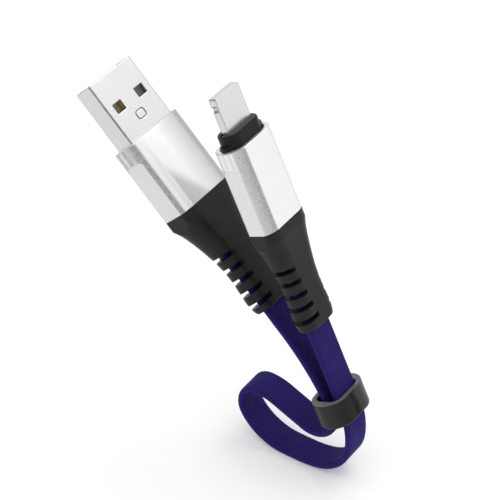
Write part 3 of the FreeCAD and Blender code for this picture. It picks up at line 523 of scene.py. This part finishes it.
def keeper_material():
    """Satin charcoal, slightly olive, with painted reflection bands across the front and rims painted
    lighter as a highlight.
    """
    shade = Shade("keeper_plastic")
    where = shade.coordinates(EIGHT_PITCH)
    grain = shade.noise(where, 10.0, 4.0, 0.65)
    across = shade.add("ShaderNodeSeparateXYZ", {"Vector": where}).outputs[1]
    middle = shade.math("ADD", across, -KEEPER_WANDER / 2)
    ripple = shade.math("MULTIPLY_ADD", shade.noise(where, 0.4, 2.0), KEEPER_WANDER, middle)
    tone = shade.ramp(shade.remap(ripple, -KEEPER_HALF, KEEPER_HALF, 0.0, 1.0), KEEPER_REFLECTION_BANDS)
    normal = shade.add("ShaderNodeNewGeometry").outputs["Normal"]
    axis = (-math.cos(math.radians(EIGHT_PITCH)), 0.0, math.sin(math.radians(EIGHT_PITCH)))
    upward = shade.add("ShaderNodeVectorMath", {0: normal, 1: axis}, operation="DOT_PRODUCT")
    # The rims that face up along the plug are painted lighter, as a highlight.
    rim = shade.remap(upward.outputs["Value"], 0.3, 0.95, 0.0, 1.0)
    side = shade.mix(tone, KEEPER_DARK, KEEPER_LIGHT)
    shade.set(
        Base_Color=shade.mix(rim, side, KEEPER_RIM_HIGHLIGHT),
        Roughness=shade.remap(grain, 0.3, 0.7, 0.30, 0.42),
        Specular_IOR_Level=shade.math("MULTIPLY_ADD", tone, 0.2, 0.06),
        Normal=shade.bump(grain, 0.010, 0.6, shade.soft_edges(0.12)),
    )
    return shade.material


def wires_material():
    """Four insulated wires side by side: red, green, white and black."""
    shade = Shade("wire_insulation")
    across = shade.add("ShaderNodeSeparateXYZ", {"Vector": shade.coordinates()}).outputs[1]
    grain = shade.noise(shade.coordinates(), 6.0, 3.0)
    colour = WIRE_RED
    for number, next_colour in enumerate((WIRE_GREEN, WIRE_WHITE, WIRE_BLACK)):
        edge = (number - 1) * WIRE_PITCH
        colour = shade.mix(shade.math("GREATER_THAN", across, edge), colour, next_colour)
    rough = shade.remap(grain, 0.3, 0.7, 0.3, 0.45)
    shade.set(Base_Color=colour, Roughness=rough, Normal=shade.bump(grain, 0.01, 0.4))
    return shade.material


def board_material():
    """Green solder mask over darker copper tracks."""
    shade = Shade("board")
    where = shade.coordinates(EIGHT_PITCH)
    tracks = shade.add("ShaderNodeTexBrick", {"Vector": where, "Scale": 0.9, "Mortar Size": 0.03})
    grain = shade.noise(where, 10.0, 3.0)
    colour = shade.mix(tracks.outputs["Fac"], TRACK_GREEN, MASK_GREEN)
    rough = shade.remap(grain, 0.3, 0.7, 0.25, 0.4)
    shade.set(Base_Color=colour, Roughness=rough, Normal=shade.bump(grain, 0.01, 0.4))
    return shade.material


weave = weave_material()
shared = {
    "ribbon_weave": weave,
    "ribbon_jacket": moulded_material("ribbon_jacket", (0.02, 0.02, 0.03), 0.5),
    "wire_insulation": wires_material(),
    "relief_rubber": moulded_material(
        "relief_rubber",
        (0.0115, 0.0115, 0.0112),
        0.46,
        texture=11.0,
        depth=0.014,
        edge=0.16,
        specular=0.2,
    ),
    "collar_plastic": moulded_material(
        "collar_plastic", (0.010, 0.010, 0.0105), 0.36, texture=12.0, depth=0.006, specular=0.15
    ),
    "keeper_plastic": keeper_material(),
    "tongue_plastic": moulded_material(
        "tongue_plastic", (0.55, 0.55, 0.56), 0.4, texture=8.0, depth=0.006
    ),
    "inner_plastic": moulded_material("inner_plastic", (0.10, 0.10, 0.11), 0.5),
    "chip_plastic": moulded_material(
        "chip_plastic", (0.02, 0.02, 0.02), 0.55, texture=14.0, depth=0.006
    ),
    "capacitor": moulded_material("capacitor", (0.42, 0.29, 0.17), 0.5, texture=14.0, depth=0.004),
    "board": board_material(),
}
# The metals are made once for each plug: their grain follows its direction, and the housings have
# painted reflection bands of their own.
PLUGS = {
    "a": (TYPE_A_PITCH, diagonal_sweep),
    "e": (EIGHT_PITCH, None),
}
for letter, (pitch, sweep) in PLUGS.items():
    metals = {
        "plug_steel": dict(
            colour=STEEL,
            rough=0.27,
            grain=9.0,
            brushed=3.0,
            depth=0.003,
            bands=STEEL_REFLECTION_BANDS,
            edge=0.28,
            line=0.45,
        ),
        "housing_aluminium": dict(
            colour=ALUMINIUM,
            rough=0.48,
            grain=12.0,
            brushed=1.0,
            depth=0.006,
            bands=HOUSING_REFLECTION_BANDS[letter],
            line=0.1,
            sweep=sweep,
        ),
        "contact_gold": dict(
            colour=GOLD, rough=0.22, grain=7.0, brushed=4.0, depth=0.003, bands=SIDE_SHADE_BANDS
        ),
        "crimp_metal": dict(
            colour=BRASS, rough=0.35, grain=6.0, brushed=3.0, depth=0.005, bands=SIDE_SHADE_BANDS
        ),
        "solder": dict(colour=TIN, rough=0.38, grain=5.0, brushed=1.0, depth=0.01, bands=SIDE_SHADE_BANDS),
    }
    for slot_name, recipe in metals.items():
        shared[slot_name, letter] = metal_material(f"{slot_name}_{letter}", pitch, **recipe)

slot_of = {entry["node"]: entry["material_slot"] for entry in frame["record"]["subparts"]}
for node, piece in frame["nodes"].items():
    slot_name = slot_of[node]
    letter = "a" if node.startswith("type_a") else "e"
    finish = shared.get(slot_name) or shared[slot_name, letter]
    piece.data.materials.clear()
    piece.data.materials.append(finish)

# ---------------------------------------------------------------- ribbon pieces

CORD_PITCH = 0.43
CORD_DEPTH = 0.075
CORD_SLANT = 0.055  # how far a cord leans along the ribbon for each millimetre across it
CORD_ROUNDNESS = 0.8
CORD_STEPS = np.array([0.0, 0.14, 0.36, 0.64, 0.86])  # rings of points across one cord
EDGE_RELIEF = 0.15  # the cords' depth at the ribbon's edges, as a share of CORD_DEPTH
ABOVE_ZERO = 1000  # an even number of cords, which keeps the material's cord numbers positive
SLEEVE_WALL = 0.2
SLEEVE_POINTS = 60
JACKET_PLAY = 0.03
JACKET_INSET = 2 * (SLEEVE_WALL + JACKET_PLAY)
JACKET_SIZE = (RIBBON_WIDTH - JACKET_INSET, RIBBON_THICK - JACKET_INSET)
JACKET_POINTS = 28
WIRE_RADIUS = 0.3
WIRE_POINTS = 10
WIRE_PLACES = (-1.5, -0.5, 0.5, 1.5)  # across the ribbon, in wire pitches
CORE_STEP = 0.5


def cord_number(distance):
    """The valley between cords that is nearest to a distance along the path."""
    return round(distance / CORD_PITCH)


def sleeve(name, first, last):
    """The woven tube from one valley between cords to another, with cords proud all round."""
    cords = np.arange(first, last)
    turns = np.append((cords[:, None] + CORD_STEPS[None, :]).ravel(), last)
    points, normals, around = stadium_section(RIBBON_WIDTH, RIBBON_THICK, SLEEVE_POINTS)
    flatness = EDGE_RELIEF + (1 - EDGE_RELIEF) * normals[:, 0] ** 2
    within = turns - np.floor(turns)
    sink = CORD_DEPTH * (1 - np.sin(np.pi * within) ** CORD_ROUNDNESS)
    turn_grid, spot = np.meshgrid(np.arange(len(turns)), np.arange(SLEEVE_POINTS), indexing="ij")
    turn_grid, spot = turn_grid.ravel(), spot.ravel()
    inward = sink[turn_grid] * flatness[spot]
    off = points[spot, 0] - normals[spot, 0] * inward
    across = points[spot, 1] - normals[spot, 1] * inward
    outer = placed(turns[turn_grid] * CORD_PITCH - CORD_SLANT * across, off, across)

    bore = (RIBBON_WIDTH - 2 * SLEEVE_WALL, RIBBON_THICK - 2 * SLEEVE_WALL)
    inner_points, _, _ = stadium_section(*bore, SLEEVE_POINTS)
    valleys = np.arange(first, last + 1)
    ring, inner_spot = np.meshgrid(np.arange(len(valleys)), np.arange(SLEEVE_POINTS), indexing="ij")
    ring, inner_spot = ring.ravel(), inner_spot.ravel()
    off, across = inner_points[inner_spot, 0], inner_points[inner_spot, 1]
    inner = placed(valleys[ring] * CORD_PITCH - CORD_SLANT * across, off, across)

    lining = len(outer)
    faces = [ring_faces(0, len(turns), SLEEVE_POINTS)]
    faces.append(ring_faces(lining, len(valleys), SLEEVE_POINTS, flip=True))
    spots = np.arange(SLEEVE_POINTS)
    nexts = (spots + 1) % SLEEVE_POINTS
    end = lining - SLEEVE_POINTS
    lining_end = lining + len(inner) - SLEEVE_POINTS
    faces.append(np.stack([spots, lining + spots, lining + nexts, nexts], axis=1))
    faces.append(np.stack([end + nexts, lining_end + nexts, lining_end + spots, end + spots], axis=1))
    piece = make_mesh(name, np.concatenate([outer, inner]), np.concatenate(faces).tolist(), weave)

    values = np.zeros((len(outer) + len(inner), 3), np.float32)
    values[:, 0] = np.concatenate([around[spot], around[inner_spot]])
    values[:, 1] = np.concatenate([turns[turn_grid], valleys[ring]]) + ABOVE_ZERO
    attribute = piece.data.attributes.new("weave", "FLOAT_VECTOR", "POINT")
    attribute.data.foreach_set("vector", values.ravel())
    return piece


def core(name, low, high, sections, material):
    """Plain strands inside the ribbon, one for each (off, across) section."""
    count = max(2, int((high - low) / CORE_STEP) + 1)
    distances = np.linspace(low, high, count)
    points, faces = [], []
    used = 0
    for section in sections:
        size = len(section)
        ring, spot = np.meshgrid(np.arange(count), np.arange(size), indexing="ij")
        across = section[spot.ravel(), 1]
        places = distances[ring.ravel()] - CORD_SLANT * across
        points.append(placed(places, section[spot.ravel(), 0], across))
        faces += ring_faces(used, count, size).tolist()
        faces.append(list(range(used + size - 1, used - 1, -1)))
        last = used + (count - 1) * size
        faces.append(list(range(last, last + size)))
        used += count * size
    piece = make_mesh(name, np.concatenate(points), faces, material)
    return piece


jacket_section = stadium_section(*JACKET_SIZE, JACKET_POINTS)[0]
wire_angles = np.arange(WIRE_POINTS) / WIRE_POINTS * 2 * math.pi
wire_round = WIRE_RADIUS * np.stack([np.cos(wire_angles), np.sin(wire_angles)], axis=1)
wire_sections = [wire_round + (0.0, place * WIRE_PITCH) for place in WIRE_PLACES]

E_LOWER_HINGE = PATH_LENGTH - EIGHT_LOWER_HINGE
E_UPPER_HINGE = PATH_LENGTH - EIGHT_UPPER_HINGE
A_START = cord_number(-TYPE_A_TAIL)
A_SPLIT = cord_number((TYPE_A_UPPER_HINGE + TYPE_A_LOWER_HINGE) / 2)
A_IN_RING = cord_number(TYPE_A_RING_SPLIT)
E_IN_RING = cord_number(PATH_LENGTH - EIGHT_RING_SPLIT)
E_SPLIT = cord_number((E_LOWER_HINGE + E_UPPER_HINGE) / 2)
E_END = cord_number(PATH_LENGTH + EIGHT_TAIL)

# Name, the valleys between cords where it starts and ends, bodies, and the hinge between the first
# body
# and the second: its place along the path and the reach to either side.
SPANS = (
    (
        "type_a_tail",
        (A_START, A_SPLIT),
        ("type_a_plug", "type_a_run"),
        (TYPE_A_UPPER_HINGE, TYPE_A_UPPER_REACH),
    ),
    ("type_a_run", (A_SPLIT, A_IN_RING), ("type_a_run", "loop"), (TYPE_A_LOWER_HINGE, BEND_REACH)),
    ("loop", (A_IN_RING, E_IN_RING), ("loop",), None),
    ("eight_pin_run", (E_IN_RING, E_SPLIT), ("loop", "eight_pin_run"), (E_LOWER_HINGE, BEND_REACH)),
    (
        "eight_pin_tail",
        (E_SPLIT, E_END),
        ("eight_pin_run", "eight_pin_plug"),
        (E_UPPER_HINGE, BEND_REACH),
    ),
)
for prefix, (first, last), bodies, bend in SPANS:
    low, high = first * CORD_PITCH, last * CORD_PITCH
    layers = {
        f"{prefix}_sleeve": sleeve(f"ribbon_{prefix}", first, last),
        f"{prefix}_inner_jacket": core(
            f"jacket_{prefix}", low, high, [jacket_section], shared["ribbon_jacket"]
        ),
        f"{prefix}_wires": core(
            f"wires_{prefix}", low, high, wire_sections, shared["wire_insulation"]
        ),
    }
    for node, piece in layers.items():
        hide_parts(node)
        if bend is None:
            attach(piece, bodies[0])
        else:
            hinge, reach = bend
            path_point(hinge - reach)
            path_point(hinge + reach)
            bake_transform(piece)

# ---------------------------------------------------------------- floor, light and camera

FLOOR_SIZE = 800 * MM
FLOOR_GLOW = 0.13
FLOOR_TONES = ((0.90, 0.90, 0.90), (0.92, 0.92, 0.92))


def floor():
    """A plain, nearly white floor, glowing slightly so that its shadows stay pale."""
    bpy.ops.mesh.primitive_plane_add(size=FLOOR_SIZE, location=(0, 0, 0))
    plane = bpy.context.object
    plane.name = "floor"
    shade = Shade("floor")
    tone = shade.noise(shade.coordinates(), 0.01, 2.0)
    shade.set(
        Base_Color=shade.mix(tone, *FLOOR_TONES),
        Roughness=0.9,
        Specular_IOR_Level=0.0,
        Emission_Color=(1.0, 1.0, 1.0),
        Emission_Strength=FLOOR_GLOW,
    )
    plane.data.materials.append(shade.material)


def softbox(name, towards, distance, size, power):
    """A square soft light, that far from the object's middle in a direction and looking at it."""
    data = bpy.data.lights.new(name, "AREA")
    data.size = size
    data.energy = power
    light = bpy.data.objects.new(name, data)
    bpy.context.scene.collection.objects.link(light)
    light.location = CAMERA_AIM + Vector(towards).normalized() * distance
    light.rotation_euler = (CAMERA_AIM - light.location).to_track_quat("-Z", "Y").to_euler()


# Soft grey cards round the object, and two bright ones (negative darkness) that the plugs' fronts
# face: direction, cosine of the angle where each starts and where it is full, darkness.
CARDS = (
    ((0.60, -0.66, 0.44), 0.915, 0.970, 0.25),
    ((0.85, -0.52, -0.04), 0.900, 0.970, 0.20),
    ((0.10, 1.00, 0.05), 0.860, 0.990, 0.40),
    ((0.61, 0.64, 0.46), 0.860, 0.960, -0.18),
    ((0.77, 0.64, -0.04), 0.940, 0.985, -0.10),
)
STUDIO_STRENGTH = 0.93


def surroundings():
    """A white studio with soft cards for the metal to reflect."""
    world = bpy.data.worlds.new("studio")
    bpy.context.scene.world = world
    world.use_nodes = True
    tree = world.node_tree
    tree.nodes.clear()
    place = tree.nodes.new("ShaderNodeTexCoord").outputs["Generated"]
    level = None
    for direction, start, full, darkness in CARDS:
        facing = tree.nodes.new("ShaderNodeVectorMath")
        facing.operation = "DOT_PRODUCT"
        facing.inputs[1].default_value = Vector(direction).normalized()
        tree.links.new(place, facing.inputs[0])
        card = tree.nodes.new("ShaderNodeMapRange")
        card.interpolation_type = "SMOOTHSTEP"
        tree.links.new(facing.outputs["Value"], card.inputs["Value"])
        levels = {"From Min": start, "From Max": full, "To Min": 1.0, "To Max": 1.0 - darkness}
        for field, value in levels.items():
            card.inputs[field].default_value = value
        if level is None:
            level = card.outputs[0]
            continue
        both = tree.nodes.new("ShaderNodeMath")
        both.operation = "MULTIPLY"
        tree.links.new(level, both.inputs[0])
        tree.links.new(card.outputs[0], both.inputs[1])
        level = both.outputs[0]
    background = tree.nodes.new("ShaderNodeBackground")
    tree.links.new(level, background.inputs["Color"])
    background.inputs["Strength"].default_value = STUDIO_STRENGTH
    output = tree.nodes.new("ShaderNodeOutputWorld")
    tree.links.new(background.outputs[0], output.inputs[0])


CAMERA_AIM = Vector((-10.64, -0.58, 43.86)) * MM
CAMERA_DISTANCE = 400 * MM
CAMERA_AZIMUTH = math.radians(34.224)
CAMERA_ELEVATION = math.radians(39.278)
CAMERA_LENS = 162.0
CAMERA_SENSOR = 36.0
CAMERA_NEAR = 10 * MM
# Name, direction from the object's middle, distance and size in metres, and power in watts.
LIGHTS = (
    ("key", (0.25, 1.0, 1.6), 0.55, 0.35, 0.45),
    ("front", (0.7, -0.2, 1.2), 0.7, 0.5, 0.35),
)


def camera():
    """Stands back from the object's middle at the photograph's angles."""
    data = bpy.data.cameras.new("camera")
    data.lens = CAMERA_LENS
    data.sensor_width = CAMERA_SENSOR
    data.clip_start = CAMERA_NEAR
    seen = bpy.data.objects.new("camera", data)
    bpy.context.scene.collection.objects.link(seen)
    back = Vector(
        (
            math.sin(CAMERA_AZIMUTH) * math.cos(CAMERA_ELEVATION),
            -math.cos(CAMERA_AZIMUTH) * math.cos(CAMERA_ELEVATION),
            math.sin(CAMERA_ELEVATION),
        )
    )
    seen.location = CAMERA_AIM + back * CAMERA_DISTANCE
    seen.rotation_euler = (-back).to_track_quat("-Z", "Y").to_euler()
    bpy.context.scene.camera = seen


floor()
surroundings()
for light_recipe in LIGHTS:
    softbox(*light_recipe)
camera()
bpy.context.scene.view_settings.view_transform = "Standard"
